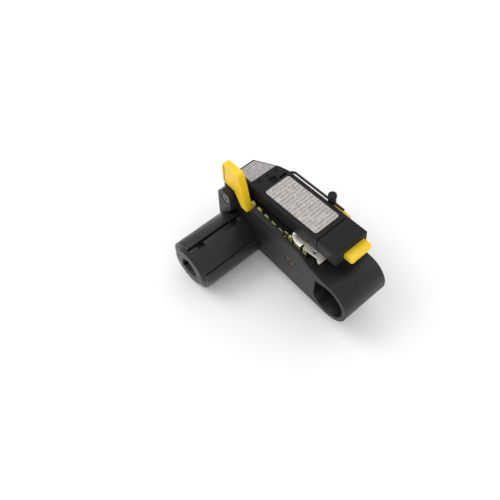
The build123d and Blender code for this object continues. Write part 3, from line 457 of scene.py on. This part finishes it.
def turned(shape, origin, axis, profile, steps=48, flutes=0, flute_depth=0.0):
    """A solid turned about an axis from (radius, height, fluted) points in millimetres."""
    first, second = side_axes(axis)
    rings = []
    for radius, height, fluted in profile:
        ring = []
        for step in range(steps):
            angle = 2 * math.pi * step / steps
            reach = radius * (1 + (flute_depth * math.cos(flutes * angle) if fluted else 0))
            spoke = first * math.cos(angle) + second * math.sin(angle)
            ring.append(shape.verts.new(origin + (spoke * reach + axis * height) * MM))
        rings.append(ring)
    for lower, upper in zip(rings, rings[1:]):
        for step in range(steps):
            after = (step + 1) % steps
            shape.faces.new((lower[step], lower[after], upper[after], upper[step]))
    shape.faces.new(list(reversed(rings[0])))
    shape.faces.new(rings[-1])


KNOB_STEPS = 96
KNOB_FLUTES = 16
FLUTE_DEPTH = 0.045


def knurled_knob():
    """The stop's thumb knob: a fluted rim with a dished top on a threaded stem."""
    joint = JOINTS["knob_turn"]
    shape = bmesh.new()
    stem_low, stem_high, stem_r = -1.55, 0.45, 0.68
    thread_pitch, thread_depth = 0.32, 0.1
    profile = []
    height = stem_low
    while height < stem_high:
        profile.append((stem_r - thread_depth, height, False))
        profile.append((stem_r, height + thread_pitch / 2, False))
        height += thread_pitch
    profile += [
        (1.5, 0.5, False),
        (2.35, 0.6, False),
        (2.62, 0.85, True),
        (2.62, 2.9, True),
        (2.4, 3.45, True),
        (2.0, 3.85, False),
        (1.5, 3.95, False),
        (1.2, 3.7, False),
        (0.4, 3.62, False),
    ]
    origin, axis = Vector(joint["pos_m"]), Vector(joint["axis"])
    turned(shape, origin, axis, profile, KNOB_STEPS, KNOB_FLUTES, FLUTE_DEPTH)
    piece = mesh_piece("knurled_knob", "knob", ARM_BLACK, shape)
    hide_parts("stop_knob")


def leaf_rim(grid):
    """The corners round a grid of rows, in order."""
    rim = grid[0] + [row[-1] for row in grid[1:]]
    return rim + list(reversed(grid[-1][:-1])) + [row[0] for row in grid[2:0:-1]]


LEAF_THICKNESS = 0.3
BACK_START, BACK_STEP, BACK_Y = 47.0, 1.37, 15.8


def pointed_leaf():
    """The thin steel leaf: pressed with a ridge from its point to its tail."""
    outer = [
        (45.7, 8.5),
        (46.6, 6.9),
        (47.9, 5.6),
        (49.6, 4.6),
        (51.2, 4.0),
        (53.0, 3.75),
        (55.2, 3.7),
        (56.4, 3.9),
    ]
    ridge = [
        (46.2, 9.0),
        (47.8, 8.6),
        (49.4, 8.2),
        (50.9, 7.7),
        (52.3, 7.1),
        (53.6, 6.4),
        (55.0, 5.6),
        (56.4, 4.9),
    ]
    inner = [
        (46.4, 9.5),
        (48.0, 9.4),
        (49.6, 9.3),
        (51.2, 9.2),
        (52.6, 9.1),
        (54.0, 9.0),
        (55.4, 8.8),
        (56.6, 8.6),
    ]
    back = [(BACK_START + BACK_STEP * step, BACK_Y) for step in range(len(outer))]
    rows = [(outer, -2.42), (ridge, -1.85), (inner, -2.3), (back, -2.3)]
    shape = bmesh.new()
    sides = []
    for lift in (0, -LEAF_THICKNESS):
        sides.append(
            [[shape.verts.new(arm_point(u, y, w + lift)) for u, y in row] for row, w in rows]
        )
    for grid in sides:
        for near, far in zip(grid, grid[1:]):
            for step in range(len(near) - 1):
                shape.faces.new((near[step], near[step + 1], far[step + 1], far[step]))
    top, bottom = sides
    rim_top, rim_low = leaf_rim(top), leaf_rim(bottom)
    for step in range(len(rim_top)):
        after = (step + 1) % len(rim_top)
        shape.faces.new((rim_top[step], rim_top[after], rim_low[after], rim_low[step]))
    piece = mesh_piece("pointed_leaf", "arm", BRIGHT_STEEL, shape)
    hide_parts("leaf_plate")


knurled_knob()
pointed_leaf()

# ---- camera, floor and light ------------------------------------------------------

VIEW_AZIMUTH = 45.44
VIEW_ELEVATION = 57.17
VIEW_ROLL = 2.65
VIEW_DISTANCE_MM = 379.3
VIEW_TARGET = point(32.1, 3.0, 22.8)
LENS_MM = 45.74
SENSOR_MM = 36
LENS_SHIFT = (-0.0601, -0.0223)
CLIP_START = 0.01


def aim_camera():
    """The camera at the photographed angle."""
    camera = bpy.data.objects.new("camera", bpy.data.cameras.new("camera"))
    bpy.context.scene.collection.objects.link(camera)
    azimuth, elevation = math.radians(VIEW_AZIMUTH), math.radians(VIEW_ELEVATION)
    back = Vector(
        (
            math.sin(azimuth) * math.cos(elevation),
            -math.cos(azimuth) * math.cos(elevation),
            math.sin(elevation),
        )
    )
    right = Vector((math.cos(azimuth), math.sin(azimuth), 0))
    turn = Matrix.Rotation(math.radians(VIEW_ROLL), 3, back)
    right = turn @ right
    up = back.cross(right)
    axes = Matrix((right, up, back)).transposed()
    place = VIEW_TARGET + back * VIEW_DISTANCE_MM * MM
    camera.matrix_world = Matrix.Translation(place) @ axes.to_4x4()
    camera.data.lens = LENS_MM
    camera.data.sensor_width = SENSOR_MM
    camera.data.shift_x, camera.data.shift_y = LENS_SHIFT
    camera.data.clip_start = CLIP_START
    bpy.context.scene.camera = camera


FLOOR_HALF = 3.0
FLOOR_TONES = (rgba(0.96, 0.96, 0.96), rgba(0.98, 0.98, 0.98))


def plain_floor():
    """A pale floor under the lowest point."""
    lowest = cad_box[0].z
    mesh = bpy.data.meshes.new("floor")
    sides = [(-1, -1), (1, -1), (1, 1), (-1, 1)]
    corners = [(x * FLOOR_HALF, y * FLOOR_HALF, lowest) for x, y in sides]
    mesh.from_pydata(corners, [], [(0, 1, 2, 3)])
    floor = bpy.data.objects.new("floor", mesh)
    bpy.context.scene.collection.objects.link(floor)
    graph = Graph("pale_floor", roughness=0.9)
    graph.colour(graph.mix(graph.noise(graph.coords(), 60.0, 2.0), *FLOOR_TONES))
    mesh.materials.append(graph.material)


WORLD_STRENGTH = 0.92
# each lamp's place from the part's middle and its width, in metres, and its power in watts
LAMPS = {
    "key_light": ((-0.55, -0.35, 0.75), 0.6, 2.6),
    "fill_light": ((0.7, -0.6, 0.6), 0.9, 0.3),
    "rim_light": ((0.1, 0.8, 0.5), 0.6, 0.6),
}


def soft_light(name, place, aim, size_m, watts):
    """A round white area lamp that points at the part."""
    data = bpy.data.lights.new(name, "AREA")
    data.shape = "DISK"
    data.size = size_m
    data.energy = watts
    light = bpy.data.objects.new(name, data)
    light.location = place
    light.rotation_euler = (aim - place).to_track_quat("-Z", "Y").to_euler()
    bpy.context.scene.collection.objects.link(light)


def light_scene():
    """An even white surround with three soft lamps."""
    world = bpy.data.worlds.new("studio")
    world.use_nodes = True
    background = world.node_tree.nodes["Background"]
    background.inputs["Color"].default_value = rgba(1, 1, 1)
    background.inputs["Strength"].default_value = WORLD_STRENGTH
    bpy.context.scene.world = world
    middle = (cad_box[0] + cad_box[1]) / 2
    for name, (offset, size_m, watts) in LAMPS.items():
        soft_light(name, middle + Vector(offset), middle, size_m, watts)
    bpy.context.scene.view_settings.view_transform = "Standard"


aim_camera()
plain_floor()
light_scene()
